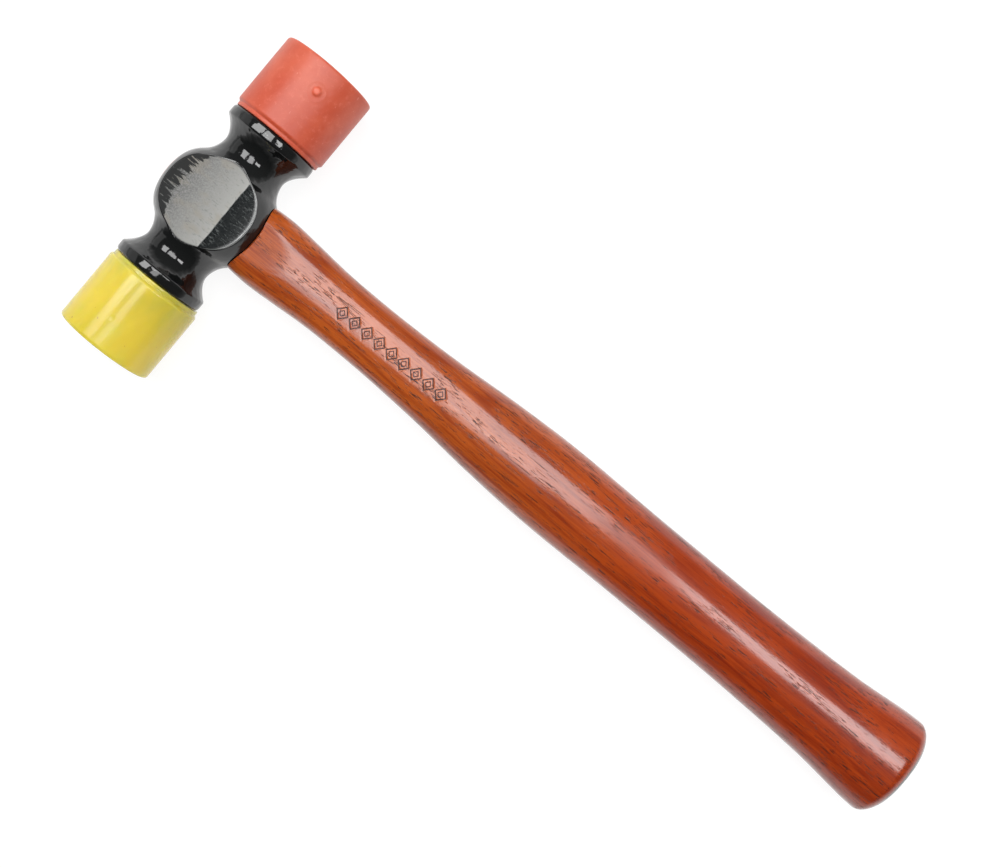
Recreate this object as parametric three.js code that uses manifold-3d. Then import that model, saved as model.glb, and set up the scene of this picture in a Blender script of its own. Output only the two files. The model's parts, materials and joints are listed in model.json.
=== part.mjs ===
// Double-faced soft-face hammer, lying on its side: a forged steel head with a screw-in plastic
// tip at each end, on an oval hardwood handle that a wooden wedge and two steel wedges hold in
// the eye. Millimetres, Z up. Each piece is shaped around the middle of the eye, with X down the
// handle, Y along the head towards the red tip, and Z across the cheeks.
import * as THREE from 'three';
import { mergeVertices } from 'three/addons/utils/BufferGeometryUtils.js';
import Module from 'manifold-3d';

// Gaps between pieces
const fitGap = 0.3; // all round a piece that is driven, seated or moulded into another
const threadGap = 0.35; // all round a stud in its socket

// Head
const headHalfLength = 33.4; // middle of the eye to the seat of a tip
const bulgeRadius = 22.3;
const neckRadius = 13.0;
const neckPlace = 21.8; // middle of the eye to the thinnest place
const shoulderPlace = 14.5; // where the bulge turns hollow, before the neck
const shoulderShare = 0.36; // the height of that place between neck and bulge
const shoulderSlope = THREE.MathUtils.degToRad(50); // from the head's axis
const flangeRadius = 18.1;
const flangeThickness = 4.1;
const flangeRounding = 0.8;
const cheekHalfThickness = 14.4; // the ground flats on the bulge

// Eye, an oval hole through the bulge, wider at both mouths
const eyeHalfWidth = 10.8; // at its waist, along the head
const eyeHalfHeight = 8.4; // at its waist, across the cheeks
const eyeFlare = 1.3; // what each grows to a mouth
const eyeWeb = 5.7; // steel left between the eye and a stud's socket
const socketOffset = 0.5; // of the sockets' axis from the head's own, towards the handle

// Studs, one in each tip
const studRadius = 4.76;
const threadPitch = 1.5875;
const threadDepth = 0.85;
const studEndClearance = 0.8; // below the stud, at the bottom of its socket
const collarRadius = 8.0;
const collarThickness = 2.0;
const rootRadius = 6.0; // the knurled root inside the tip
const rootLength = 11.0;
const rootGroove = 1.0;

// Tips
const tipRadius = 19.05;
const tipLength = 30.6; // from its base to the rim of its face
const tipCrown = 1.4; // what the middle of the face stands proud of the rim
const tipEdge = 1.2;
const tipBaseInset = 1.05;
const tipBaseBevel = 1.8; // the length of the bevel at the base

// Handle
const handleReach = 323.9; // middle of the eye to the butt
const shoulderLedge = 1.9; // what the handle's shoulder is wider than the eye
const shoulderLedgeAcross = 0.8;
const waist = { along: 69, halfWidth: 12.3, halfThickness: 9.2 };
const grip = { along: 147, halfWidth: 16.3, halfThickness: 12.7 };
const gripMiddle = { halfWidth: 16.25, halfThickness: 12.6 };
const flareStart = { fromButt: 68.4, halfWidth: 16.5, halfThickness: 12.8 };
const flare = { fromButt: 7.0, halfWidth: 19.9, halfThickness: 15.3 };
const domeRim = { fromButt: 2.2, share: 0.78 }; // where the butt's rounding meets its dome
// Points between two stations: how far along, and how much of the change in size is made by then
const fall = [[0.28, 0.36], [0.6, 0.87]]; // from the shoulder to the waist
const swell = [[0.42, 0.26], [0.8, 0.8]]; // from the waist to the grip
const spread = [[0.57, 0.37]]; // from the grip's end to the flare
const neckSquareness = 2.7; // 2 is an ellipse, and more is fuller at the corners
const gripSquareness = 2.15;

// Wedges, driven in from the top of the eye
const endInset = 0.15; // of the handle's end from the surface of the bulge
const woodWedge = { thick: 3.4, thin: 0.9, depth: 24 };
const steelWedge = { thick: 2.2, thin: 0.6, depth: 14, halfWidth: 6.0, place: 5.2 };

// Fineness
const headSides = 36;
const tipSides = 40;
const studSides = 20;
const handleSides = 24;
const eyeSides = 28;
const outlineSteps = 4;
const handleSteps = 28;

const wasm = await Module();
wasm.setup();

// A closed geometry as a solid that can be cut and joined.
function solid(geometry) {
  const bare = geometry.clone();
  bare.deleteAttribute('normal');
  bare.deleteAttribute('uv');
  const merged = mergeVertices(bare, 1e-4);
  const index = merged.index.array;
  const corners = [];
  for (let i = 0; i < index.length; i += 3) {
    const [a, b, c] = index.slice(i, i + 3);
    if (a !== b && b !== c && c !== a) corners.push(a, b, c);
  }
  return new wasm.Manifold(new wasm.Mesh({
    numProp: 3,
    vertProperties: new Float32Array(merged.attributes.position.array),
    triVerts: new Uint32Array(corners),
  }));
}

function geometryOf(body) {
  const mesh = body.getMesh();
  const geometry = new THREE.BufferGeometry();
  geometry.setAttribute('position', new THREE.BufferAttribute(mesh.vertProperties, 3));
  geometry.setIndex(new THREE.BufferAttribute(mesh.triVerts, 1));
  geometry.computeVertexNormals();
  return geometry;
}

function box(sizeX, sizeY, sizeZ, x = 0, y = 0, z = 0) {
  return solid(new THREE.BoxGeometry(sizeX, sizeY, sizeZ).translate(x, y, z));
}

// An oval bar along X through rings of a given half-width (Y), half-thickness (Z) and squareness.
// It starts as a turned body, and each ring is then drawn into its own superellipse.
function ovalBar(rings, sides) {
  const first = rings[0];
  const last = rings[rings.length - 1];
  const profile = [new THREE.Vector2(0, first.along)];
  rings.forEach((ring) => profile.push(new THREE.Vector2(ring.halfWidth, ring.along)));
  profile.push(new THREE.Vector2(0, last.along));
  const geometry = new THREE.LatheGeometry(profile, sides);
  const place = geometry.attributes.position;
  for (let i = 0; i < place.count; i += 1) {
    const ring = rings[(i % profile.length) - 1];
    if (ring && ring.halfWidth > 0) {
      const wide = place.getX(i) / ring.halfWidth;
      const tall = place.getZ(i) / ring.halfWidth;
      const power = 2 / ring.squareness;
      place.setX(i, Math.sign(wide) * Math.abs(wide) ** power * ring.halfWidth);
      place.setZ(i, Math.sign(tall) * Math.abs(tall) ** power * ring.halfThickness);
    }
  }
  return solid(geometry.rotateZ(-Math.PI / 2));
}

// ---- Head ----

// Half of the head's outline, as radius and place along the head, from the bulge to the seat.
function halfHeadOutline() {
  const shoulderRadius = neckRadius + (bulgeRadius - neckRadius) * shoulderShare;
  const lean = new THREE.Vector2(-Math.sin(shoulderSlope), Math.cos(shoulderSlope));
  const bulgePull = 0.27 * shoulderPlace;
  const neckPull = 0.34 * (neckPlace - shoulderPlace);
  const flarePlace = headHalfLength - flangeThickness;
  const flarePull = 0.45 * (flarePlace - neckPlace);
  const flareRadius = flangeRadius - flangeRounding / 2;
  const outline = new THREE.Path();
  outline.moveTo(bulgeRadius, 0);
  outline.bezierCurveTo(
    bulgeRadius, 0.55 * shoulderPlace,
    shoulderRadius - bulgePull * lean.x, shoulderPlace - bulgePull * lean.y,
    shoulderRadius, shoulderPlace,
  );
  outline.bezierCurveTo(
    shoulderRadius + neckPull * lean.x, shoulderPlace + neckPull * lean.y,
    neckRadius, neckPlace - neckPull,
    neckRadius, neckPlace,
  );
  outline.bezierCurveTo(
    neckRadius, neckPlace + 0.34 * (flarePlace - neckPlace),
    flareRadius + flarePull * lean.x, flarePlace - flarePull * lean.y,
    flareRadius, flarePlace,
  );
  outline.quadraticCurveTo(
    flangeRadius, flarePlace + flangeRounding / 2,
    flangeRadius, flarePlace + flangeRounding,
  );
  outline.lineTo(flangeRadius, headHalfLength - 2 * flangeRounding);
  outline.lineTo(flangeRadius - flangeRounding, headHalfLength);
  return outline.getPoints(outlineSteps);
}

// The head before its cuts, a body turned about Y, grown by a given amount all round.
function turnedHead(grow = 0) {
  const half = halfHeadOutline();
  const end = headHalfLength + grow;
  const right = half.map((p) => new THREE.Vector2(p.x + grow, Math.min(p.y * end / headHalfLength, end)));
  const left = right.slice(1).reverse().map((p) => new THREE.Vector2(p.x, -p.y));
  const profile = [new THREE.Vector2(0, -end), ...left, ...right, new THREE.Vector2(0, end)];
  return solid(new THREE.LatheGeometry(profile, headSides));
}

// The oval hourglass of the eye, smaller by a given clearance all round.
function eyeForm(clearance = 0) {
  const reach = bulgeRadius + 2;
  const ring = (along, grow) => ({
    along,
    halfWidth: eyeHalfWidth + grow - clearance,
    halfThickness: eyeHalfHeight + grow - clearance,
    squareness: 2.2,
  });
  return ovalBar([ring(-reach, eyeFlare), ring(0, 0), ring(reach, eyeFlare)], eyeSides);
}

const socketDepth = headHalfLength - eyeHalfWidth - eyeFlare - eyeWeb;

function makeHead() {
  const thick = 2 * bulgeRadius;
  const place = cheekHalfThickness + thick / 2;
  const upper = box(2 * thick, 2 * neckPlace, thick, 0, 0, place);
  const lower = box(2 * thick, 2 * neckPlace, thick, 0, 0, -place);
  const bore = new THREE.CylinderGeometry(
    studRadius + threadGap, studRadius + threadGap, 2 * socketDepth, studSides,
  );
  const sockets = solid(bore.clone().translate(socketOffset, headHalfLength, 0))
    .add(solid(bore.clone().translate(socketOffset, -headHalfLength, 0)));
  return turnedHead().subtract(upper).subtract(lower).subtract(eyeForm()).subtract(sockets);
}

// ---- Wedges ----

// A wedge with its taper in the plane of X and across, thick at the top of the eye, made as an
// outline that is extruded by its width. It starts above the bulge, so that trimming cuts it flush.
function wedge({ thick, thin, depth }, width, grow = 0) {
  const top = -bulgeRadius;
  const bottom = top + depth + grow;
  const slope = (thick - thin) / 2 / depth;
  const above = 2;
  const outline = new THREE.Shape();
  outline.moveTo(top - above, thick / 2 + slope * above + grow);
  outline.lineTo(bottom, thin / 2 + grow);
  outline.lineTo(bottom, -thin / 2 - grow);
  outline.lineTo(top - above, -thick / 2 - slope * above - grow);
  const long = width + 2 * grow;
  return new THREE.ExtrudeGeometry(outline, { depth: long, bevelEnabled: false })
    .translate(0, 0, -long / 2);
}

function woodWedgeForm(grow = 0) {
  const width = 2 * (eyeHalfWidth + eyeFlare);
  return solid(wedge(woodWedge, width, grow).rotateX(Math.PI / 2));
}

function steelWedgeForm(side, grow = 0) {
  return solid(wedge(steelWedge, 2 * steelWedge.halfWidth, grow)
    .translate(0, side * steelWedge.place, 0));
}

// What fills the eye, ending flush with the bulge at the top.
function eyeFilling() {
  return eyeForm(fitGap).intersect(turnedHead(-endInset));
}

function makeWoodWedge() {
  return woodWedgeForm()
    .intersect(eyeFilling())
    .subtract(steelWedgeForm(1, fitGap))
    .subtract(steelWedgeForm(-1, fitGap));
}

function makeSteelWedge(side) {
  return steelWedgeForm(side).intersect(eyeFilling());
}

// ---- Handle ----

// The handle's long curve: half-width as x, place along the handle as y, half-thickness as z.
function handleCurve() {
  const mouthWidth = eyeHalfWidth + eyeFlare + shoulderLedge;
  const mouthThickness = eyeHalfHeight + eyeFlare + shoulderLedgeAcross;
  const shoulder = { along: 1.14 * bulgeRadius, halfWidth: mouthWidth + 0.3, halfThickness: mouthThickness };
  const inside = { along: 0.5 * bulgeRadius, halfWidth: mouthWidth - 0.6, halfThickness: mouthThickness - 0.2 };
  const gripEnd = { ...flareStart, along: handleReach - flareStart.fromButt };
  const flareEnd = { ...flare, along: handleReach - flare.fromButt };
  const middle = { ...gripMiddle, along: (grip.along + gripEnd.along) / 2 };
  const between = (a, b, points) => points.map(([share, change]) => ({
    along: THREE.MathUtils.lerp(a.along, b.along, share),
    halfWidth: THREE.MathUtils.lerp(a.halfWidth, b.halfWidth, change),
    halfThickness: THREE.MathUtils.lerp(a.halfThickness, b.halfThickness, change),
  }));
  const stations = [
    inside, shoulder,
    ...between(shoulder, waist, fall), waist,
    ...between(waist, grip, swell), grip,
    middle, gripEnd,
    ...between(gripEnd, flareEnd, spread), flareEnd,
  ];
  return new THREE.CatmullRomCurve3(
    stations.map((s) => new THREE.Vector3(s.halfWidth, s.along, s.halfThickness)),
    false,
    'centripetal',
  );
}

// The rounding and the shallow dome that end the butt, as rings.
function buttRings() {
  const rimWidth = flare.halfWidth * domeRim.share;
  const rimAlong = handleReach - domeRim.fromButt;
  const outline = new THREE.Path();
  outline.moveTo(flare.halfWidth, handleReach - flare.fromButt);
  outline.quadraticCurveTo(0.995 * flare.halfWidth, rimAlong - 2.2, rimWidth, rimAlong);
  outline.quadraticCurveTo(rimWidth / 2, handleReach, 0.02, handleReach);
  return outline.getPoints(outlineSteps).slice(1).map((p) => ({
    along: p.y,
    halfWidth: p.x,
    halfThickness: p.x * flare.halfThickness / flare.halfWidth,
    squareness: gripSquareness,
  }));
}

function handleRings() {
  const rings = handleCurve().getPoints(handleSteps).map((p) => ({
    along: p.y,
    halfWidth: p.x,
    halfThickness: p.z,
    squareness: THREE.MathUtils.lerp(
      neckSquareness, gripSquareness, THREE.MathUtils.smoothstep(p.y, waist.along, grip.along),
    ),
  }));
  return [...rings, ...buttRings()];
}

function makeHandle() {
  const swell = ovalBar(handleRings(), handleSides).subtract(turnedHead(1.4 * fitGap));
  const belowTop = box(2 * bulgeRadius, 4 * bulgeRadius, 4 * bulgeRadius, bulgeRadius, 0, 0);
  const tenon = eyeForm(fitGap).intersect(turnedHead(-endInset).add(belowTop));
  return swell.add(tenon)
    .subtract(woodWedgeForm(fitGap))
    .subtract(steelWedgeForm(1, fitGap))
    .subtract(steelWedgeForm(-1, fitGap));
}

// ---- Tips and studs, made for the red end ----

const tipBase = headHalfLength + fitGap;

function makeTip() {
  const rim = tipBase + tipLength;
  const pocket = tipBase + collarThickness + rootLength + fitGap;
  const outline = new THREE.Path();
  outline.moveTo(0, pocket);
  outline.lineTo(rootRadius + fitGap, pocket);
  outline.lineTo(rootRadius + fitGap, tipBase + collarThickness + fitGap);
  outline.lineTo(collarRadius + fitGap, tipBase + collarThickness + fitGap);
  outline.lineTo(collarRadius + fitGap, tipBase);
  outline.lineTo(tipRadius - tipBaseInset, tipBase);
  outline.lineTo(tipRadius, tipBase + tipBaseBevel);
  outline.lineTo(tipRadius, rim - tipEdge);
  outline.quadraticCurveTo(tipRadius, rim, tipRadius - tipEdge, rim);
  outline.quadraticCurveTo(tipRadius / 2, rim + tipCrown, 0, rim + tipCrown);
  return new THREE.LatheGeometry(outline.getPoints(outlineSteps), tipSides);
}

// The stud's end in the head, its rings of thread, its collar in the tip's base and its root.
function makeStud() {
  const end = headHalfLength - socketDepth + studEndClearance;
  const turns = Math.floor((headHalfLength - end) / threadPitch) - 1;
  const core = studRadius - threadDepth;
  const firstCrest = end + threadPitch;
  const grooveAt = tipBase + collarThickness + rootLength / 2;
  const outline = [[0, end], [core - 0.4, end]];
  for (let turn = 0; turn < turns; turn += 1) {
    outline.push([core, firstCrest + (turn - 0.5) * threadPitch]);
    outline.push([studRadius, firstCrest + turn * threadPitch]);
  }
  outline.push([core, firstCrest + (turns - 0.5) * threadPitch]);
  outline.push([core, tipBase]);
  outline.push([collarRadius, tipBase], [collarRadius, tipBase + collarThickness]);
  outline.push([rootRadius, tipBase + collarThickness], [rootRadius, grooveAt - 1.5 * rootGroove]);
  outline.push([rootRadius - rootGroove, grooveAt - rootGroove / 2]);
  outline.push([rootRadius - rootGroove, grooveAt + rootGroove / 2]);
  outline.push([rootRadius, grooveAt + 1.5 * rootGroove]);
  outline.push([rootRadius, tipBase + collarThickness + rootLength - 0.6]);
  outline.push([rootRadius - 0.6, tipBase + collarThickness + rootLength]);
  outline.push([0, tipBase + collarThickness + rootLength]);
  return new THREE.LatheGeometry(outline.map(([r, y]) => new THREE.Vector2(r, y)), studSides);
}

// ---- Assembly ----

const finishes = {
  enamel: { color: 0x141516, roughness: 0.16, metalness: 0.0 },
  wood: { color: 0xa8461c, roughness: 0.35, metalness: 0.0 },
  paleWood: { color: 0xc9a26c, roughness: 0.7, metalness: 0.0 },
  steel: { color: 0x9a9a98, roughness: 0.4, metalness: 1.0 },
  red: { color: 0xcf5a41, roughness: 0.5, metalness: 0.0 },
  yellow: { color: 0xe0c648, roughness: 0.25, metalness: 0.0 },
};

function piece(name, geometry, finish) {
  const mesh = new THREE.Mesh(geometry, new THREE.MeshStandardMaterial(finishes[finish]));
  mesh.name = name;
  return mesh;
}

// A tip and its stud, at the red end or turned round to the yellow one.
function tipEnd(name, finish, side) {
  const end = new THREE.Group();
  end.add(piece(`${name}_tip`, makeTip(), finish), piece(`${name}_tip_stud`, makeStud(), 'steel'));
  end.rotation.z = side > 0 ? 0 : Math.PI;
  end.position.x = socketOffset;
  return end;
}

// How far the hammer leans about its head, lying on both tips, until the butt touches down too.
function restAngle() {
  return Math.min(...handleRings().filter((ring) => ring.along > handleReach / 2).map((ring) => {
    const far = Math.hypot(ring.along, ring.halfThickness);
    return Math.asin(tipRadius / far) - Math.atan2(ring.halfThickness, ring.along);
  }));
}

const leaning = new THREE.Group();
leaning.add(
  piece('head', geometryOf(makeHead()), 'enamel'),
  piece('handle', geometryOf(makeHandle()), 'wood'),
  piece('wooden_wedge', geometryOf(makeWoodWedge()), 'paleWood'),
  piece('steel_wedge_red_side', geometryOf(makeSteelWedge(1)), 'steel'),
  piece('steel_wedge_yellow_side', geometryOf(makeSteelWedge(-1)), 'steel'),
  tipEnd('red', 'red', 1),
  tipEnd('yellow', 'yellow', -1),
);
leaning.rotation.y = restAngle();

// The origin is on the floor, under the middle of the hammer.
const hammer = new THREE.Group();
hammer.name = 'soft_face_hammer';
hammer.add(leaning);
const extent = new THREE.Box3().setFromObject(hammer, true);
const middle = extent.getCenter(new THREE.Vector3());
leaning.position.set(-middle.x, -middle.y, -extent.min.z);

export default hammer;
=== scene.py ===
"""A double-faced soft-face hammer lying on its side on a pale floor.

Shapes are worked out in hammer millimetres, with x down the handle from the middle of the eye,
y along the head towards the red tip, and z across the cheeks. laid() puts them in the row frame.
"""
import json
import math

import bmesh
import bpy
import numpy as np
from mathutils import Matrix


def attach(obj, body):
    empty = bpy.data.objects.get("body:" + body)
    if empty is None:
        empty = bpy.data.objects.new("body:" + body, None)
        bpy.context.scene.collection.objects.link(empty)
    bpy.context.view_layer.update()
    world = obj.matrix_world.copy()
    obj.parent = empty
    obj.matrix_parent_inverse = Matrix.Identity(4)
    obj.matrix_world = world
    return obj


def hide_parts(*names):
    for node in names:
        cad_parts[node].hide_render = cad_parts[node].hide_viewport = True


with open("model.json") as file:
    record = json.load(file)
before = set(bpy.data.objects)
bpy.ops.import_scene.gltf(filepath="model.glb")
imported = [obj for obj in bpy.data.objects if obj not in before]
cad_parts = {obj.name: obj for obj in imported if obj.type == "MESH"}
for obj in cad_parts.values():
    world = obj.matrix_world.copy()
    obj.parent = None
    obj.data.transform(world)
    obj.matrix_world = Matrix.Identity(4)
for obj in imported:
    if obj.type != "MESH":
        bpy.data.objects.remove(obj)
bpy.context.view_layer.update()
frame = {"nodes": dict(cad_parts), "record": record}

# ---- Sizes, in millimetres ----
FIT_GAP = 0.3
HEAD_HALF = 33.4
BULGE = 22.3
NECK = 13.0
NECK_PLACE = 21.8
SHOULDER_PLACE = 14.5
SHOULDER_SHARE = 0.36
SHOULDER_SLOPE = math.radians(50)
FLANGE = 18.1
FLANGE_THICK = 4.1
FLANGE_ROUNDING = 0.8
CHEEK = 14.4
CHEEK_ROUNDING = 0.12
CHEEK_FALL = 0.02
CHEEK_FALL_FROM = 10.0
EYE_HALF_WIDTH = 10.8
EYE_HALF_HEIGHT = 8.4
EYE_FLARE = 1.3
EYE_SQUARENESS = 2.2
MOUTH_ROUNDING = 0.45
MOUTH_PATCH = 15.4  # the patch round each mouth of the eye reaches so far along the head
TENON_SUNK = 0.15  # the tenon's end lies this far under the top of the eye
SHOULDER_GAP = 1.4 * FIT_GAP
STUD = 4.76
PITCH = 1.5875
THREAD_DEPTH = 0.85
SOCKET_DEPTH = 15.6
SOCKET_OFFSET = 0.5
COLLAR = 8.0
COLLAR_THICK = 2.0
ROOT = 6.0
ROOT_LENGTH = 11.0
TIP = 19.04
TIP_LENGTH = 30.6
TIP_CROWN = 1.38
TIP_BASE = HEAD_HALF + FIT_GAP
HANDLE_REACH = 323.88
WAIST = 69.0
GRIP = 147.0
GRIP_END = HANDLE_REACH - 68.4
BUTT_START = HANDLE_REACH - 7.0
BUTT_HALF_WIDTH = 19.9
BUTT_HALF_THICK = 15.28
NECK_SQUARENESS = 2.7
BUTT_SQUARENESS = 2.15
DOME_RIM = 0.78
END_DIP = 3.6  # the dark dip on the butt starts this far from its end
FACET = (22.0, 9.80, 0.021)  # the flat at the neck: from, height there, rise per millimetre
STAMP = (57.8, 108.9)  # from and to
STAMP_DEPTH = 0.13
LOZENGES = 9
LOZENGE_LONG = 0.46  # half a lozenge's length over the pitch
LOZENGE_HIGH = 2.9  # half a lozenge's height
WOOD_WEDGE = (3.4, 0.9, 24, EYE_HALF_WIDTH + EYE_FLARE)  # thick end, thin end, depth, half width
STEEL_WEDGE = (2.2, 0.6, 14, 6.0)
STEEL_WEDGE_PLACES = (5.2, -5.2)
NOWHERE = -9.0  # the value of a mark off the region that it marks

# ---- Where the hammer lies ----
cheek_mount = next(m for m in frame["record"]["mounts"] if m["name"] == "upper_cheek")
up = np.array(cheek_mount["axis"], float)
up /= np.linalg.norm(up)
across = np.array([0.0, 1.0, 0.0])
down_handle = np.cross(across, up)
AXES = np.stack([down_handle, across, up])
EYE_MIDDLE = np.array(cheek_mount["pos_m"], float) - up * CHEEK * 0.001
TIP_AXIS = EYE_MIDDLE + down_handle * SOCKET_OFFSET * 0.001


def laid(points):
    """The eye's middle, plus each point's x, y and z along the hammer's own axes, in metres."""
    return EYE_MIDDLE + np.asarray(points, float) @ AXES * 0.001


# ---- Plain formulas ----

def bezier(points, t):
    """The Bezier curve of these points at t: each pass takes the mix of neighbours by t."""
    level = [np.asarray(p, float)[None, :] for p in points]
    t = np.asarray(t, float)[:, None]
    while len(level) > 1:
        level = [a * (1 - t) + b * t for a, b in zip(level, level[1:])]
    return level[0]


def ease(t):
    """3 t squared less 2 t cubed, with t held between 0 and 1."""
    t = np.clip(t, 0, 1)
    return t * t * (3 - 2 * t)


def rounded_min(a, b, k):
    """The lesser of a and b, the corner rounded over about k: minus k log(e^(-a/k) + e^(-b/k))."""
    return -k * np.logaddexp(-a / k, -b / k)


def through(x, places, values):
    """A smooth curve through stations: a cubic between two, with each station's slope taken from its neighbours."""
    places, values = np.asarray(places, float), np.asarray(values, float)
    step = np.diff(places)
    rise = np.diff(values) / step
    inner = (rise[:-1] * step[1:] + rise[1:] * step[:-1]) / (step[1:] + step[:-1])
    slope = np.concatenate([[rise[0]], inner, [rise[-1]]])
    i = np.clip(np.searchsorted(places, x) - 1, 0, len(step) - 1)
    h = step[i]
    t = np.clip((x - places[i]) / h, 0, 1)
    return ((1 + 2 * t) * (1 - t) ** 2 * values[i] + t * (1 - t) ** 2 * h * slope[i]
            + t * t * (3 - 2 * t) * values[i + 1] + t * t * (t - 1) * h * slope[i + 1])


def oval(angle, half_width, half_height, squareness):
    """A superellipse: the signed cosine and sine, each to the power 2 over squareness, times its half size."""
    power = 2 / squareness
    c, s = np.cos(angle), np.sin(angle)
    c, s = np.where(abs(c) < 1e-9, 0, c), np.where(abs(s) < 1e-9, 0, s)
    return np.sign(c) * abs(c) ** power * half_width, np.sign(s) * abs(s) ** power * half_height


def thread_height(place, angle, depth):
    """A right-hand thread's height: a trapezoid wave of place over pitch plus the turn's share, 0 to depth."""
    turn = np.mod(place / PITCH + angle / (2 * np.pi), 1.0)
    return depth * np.clip((1 - abs(2 * turn - 1) - 0.1) / 0.8, 0, 1)


# ---- Meshes ----

class Skin:
    """Patches of grid that are welded into one closed surface."""

    def __init__(self):
        self.points, self.faces, self.marks, self.count = [], [], {}, 0

    def add(self, grid, keep=None, **marks):
        """Takes a rows by columns grid of points, and makes a quad between each four neighbours that keep allows."""
        rows, columns = grid.shape[:2]
        number = np.arange(rows * columns).reshape(rows, columns) + self.count
        quads = np.stack([number[:-1, :-1], number[:-1, 1:], number[1:, 1:], number[1:, :-1]], axis=-1)
        self.faces.append(quads[keep] if keep is not None else quads.reshape(-1, 4))
        self.points.append(grid.reshape(-1, 3))
        for name, values in marks.items():
            self.marks.setdefault(name, []).append((self.count, np.broadcast_to(values, (rows, columns)).ravel()))
        self.count += rows * columns
        return self


def put_in_mesh(name, skin, sharp=40):
    """Welds the patches, turns every face outwards, and keeps edges over sharp degrees crisp."""
    mesh = bpy.data.meshes.new(name)
    faces = np.concatenate(skin.faces)
    mesh.from_pydata(laid(np.concatenate(skin.points)), [], faces)
    for mark, parts in skin.marks.items():
        values = np.zeros(skin.count, np.float32)
        for start, part in parts:
            values[start:start + len(part)] = part
        mesh.attributes.new(mark, "FLOAT", "POINT").data.foreach_set("value", values)
    shell = bmesh.new()
    shell.from_mesh(mesh)
    bmesh.ops.remove_doubles(shell, verts=shell.verts, dist=2e-6)
    loose = [v for v in shell.verts if not v.link_faces]
    bmesh.ops.delete(shell, geom=loose, context="VERTS")
    bmesh.ops.recalc_face_normals(shell, faces=shell.faces)
    shell.to_mesh(mesh)
    shell.free()
    mesh.polygons.foreach_set("use_smooth", np.ones(len(mesh.polygons), bool))
    mesh.set_sharp_from_angle(angle=math.radians(sharp))
    made = bpy.data.objects.new(name, mesh)
    bpy.context.scene.collection.objects.link(made)
    return made


def fitted(made, finish, body, node):
    """Gives a piece its finish and its body, and hides the CAD node that it stands for."""
    made.data.materials.append(finish)
    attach(made, body)
    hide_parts(node)
    return made


# ---- Finishes ----

def finish_named(name):
    """A material with its Principled shader, and a maker of nodes for it."""
    material = bpy.data.materials.new(name)
    material.use_nodes = True
    tree = material.node_tree
    shader = tree.nodes["Principled BSDF"]

    def node(kind, inputs=(), **settings):
        made = tree.nodes.new("ShaderNode" + kind)
        for key, value in settings.items():
            setattr(made, key, value)
        for key, value in dict(inputs).items():
            if isinstance(value, bpy.types.NodeSocket):
                tree.links.new(value, made.inputs[key])
            else:
                made.inputs[key].default_value = value
        return made

    return material, shader, node, tree.links.new


def shader_tools(node):
    """Short words for the nodes that the finishes use, with lengths in millimetres."""
    place = node("TexCoord").outputs["Object"]

    def grain(scale, detail=2.0, roughness=0.5, offset=(0, 0, 0), distortion=0.0):
        """Noise with so many features per millimetre along x, y and z."""
        mapped = node("Mapping", {"Vector": place, "Scale": [1000 * s for s in scale], "Location": offset})
        return node("TexNoise", {"Vector": mapped.outputs[0], "Scale": 1.0, "Detail": detail,
                                 "Roughness": roughness, "Distortion": distortion}).outputs["Fac"]

    def between(value, low, high, smooth=True):
        """0 up to low and 1 from high on. Low may be the greater, which turns the ramp round."""
        made = node("MapRange", {"Value": value, "From Min": low, "From Max": high},
                    interpolation_type="SMOOTHSTEP" if smooth else "LINEAR")
        return made.outputs["Result"]

    def math_of(operation, *values):
        return node("Math", dict(enumerate(values)), operation=operation).outputs[0]

    def mixed(factor, a, b):
        """Colour a where factor is 0 and b where it is 1."""
        return node("Mix", {0: factor, 6: a, 7: b}, data_type="RGBA").outputs[2]

    def mark(name):
        return node("Attribute", attribute_name=name).outputs["Fac"]

    def bumped(height, distance, strength=1.0, under=None):
        """Bump of a height from 0 to 1 over distance in millimetres."""
        inputs = {"Height": height, "Distance": distance * 0.001, "Strength": strength}
        if under is not None:
            inputs["Normal"] = under
        return node("Bump", inputs).outputs["Normal"]

    return grain, between, math_of, mixed, mark, bumped


def rgb(r, g, b):
    return (r, g, b, 1.0)


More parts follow.
